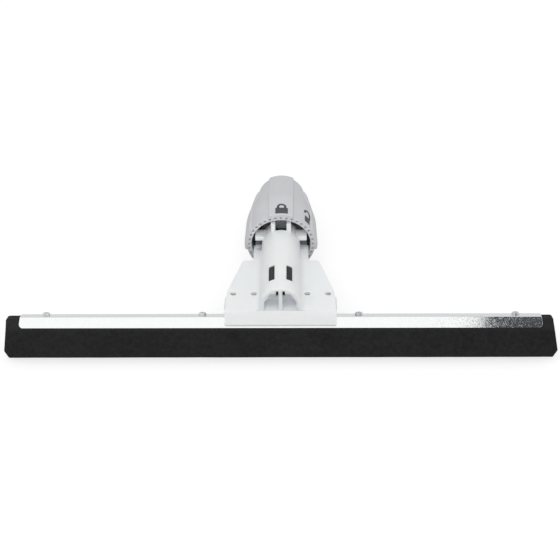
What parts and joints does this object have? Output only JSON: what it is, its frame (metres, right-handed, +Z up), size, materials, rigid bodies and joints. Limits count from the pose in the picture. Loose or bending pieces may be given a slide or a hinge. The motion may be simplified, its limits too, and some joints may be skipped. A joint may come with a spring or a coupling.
{
  "type": "floor squeegee head",
  "caption": "Floor squeegee head: twin foam-rubber blades in a steel channel, with an angled plastic socket whose twist-lock collar clamps a round handle.",
  "frame": {"origin": "middle of the bounding box on the floor that the head lies on", "axes": "+X along the blades, +Y from the blades towards the handle's end, +Z up"},
  "size_m": [0.559, 0.2184, 0.0799],
  "materials": {
    "foam_rubber": "matte, fine open cells",
    "core_aluminium": "mill finish",
    "zinc_sheet": "bright zinc plate with a fine spangle",
    "screw_steel": "zinc plate",
    "bracket_plastic": "fine moulded texture",
    "clamp_metal": "satin grey",
    "collar_plastic": "fine moulded texture",
    "cam_plastic": "black acetal",
    "spring_steel": "oiled",
    "jaw_plastic": "fine moulded texture",
    "grip_rubber": "matte"
  },
  "bodies": {
    "head": {"socket_bracket": "bracket_plastic", "stop_plug": "jaw_plastic", "channel": "zinc_sheet", "front_blade": "foam_rubber", "rear_blade": "foam_rubber", "core_bar": "core_aluminium", "channel_screws": "screw_steel", "rear_clamp_bar": "clamp_metal", "clamp_screws": "screw_steel", "clamp_nuts": "screw_steel", "retaining_ring": "spring_steel"},
    "collar": {"lock_collar": "collar_plastic", "cam_plate": "cam_plastic"},
    "jaw_top": {"jaw_top": "jaw_plastic", "grip_pad_top": "grip_rubber"},
    "jaw_right": {"jaw_right": "jaw_plastic", "grip_pad_right": "grip_rubber"},
    "jaw_bottom": {"jaw_bottom": "jaw_plastic", "grip_pad_bottom": "grip_rubber"},
    "jaw_left": {"jaw_left": "jaw_plastic", "grip_pad_left": "grip_rubber"}
  },
  "joints": [
    {"name": "collar_turn", "type": "hinge", "parent": "head", "child": "collar", "pos_m": [0, 0.02073, 0.04244], "axis": [0, -0.9876, 0.1568], "range_deg": [0, 50]},
    {"name": "jaw_top_slide", "type": "slide", "parent": "head", "child": "jaw_top", "axis": [0, 0.1568, 0.9876], "range_m": [0, 0.002]},
    {"name": "jaw_right_slide", "type": "slide", "parent": "head", "child": "jaw_right", "axis": [1, 0, 0], "range_m": [0, 0.002]},
    {"name": "jaw_bottom_slide", "type": "slide", "parent": "head", "child": "jaw_bottom", "axis": [0, -0.1568, -0.9876], "range_m": [0, 0.002]},
    {"name": "jaw_left_slide", "type": "slide", "parent": "head", "child": "jaw_left", "axis": [-1, 0, 0], "range_m": [0, 0.002]}
  ],
  "couplings": [
    {"joint": "jaw_top_slide", "follows": "collar_turn", "m_per_rad": 0.0022918},
    {"joint": "jaw_right_slide", "follows": "collar_turn", "m_per_rad": 0.0022918},
    {"joint": "jaw_bottom_slide", "follows": "collar_turn", "m_per_rad": 0.0022918},
    {"joint": "jaw_left_slide", "follows": "collar_turn", "m_per_rad": 0.0022918}
  ]
}
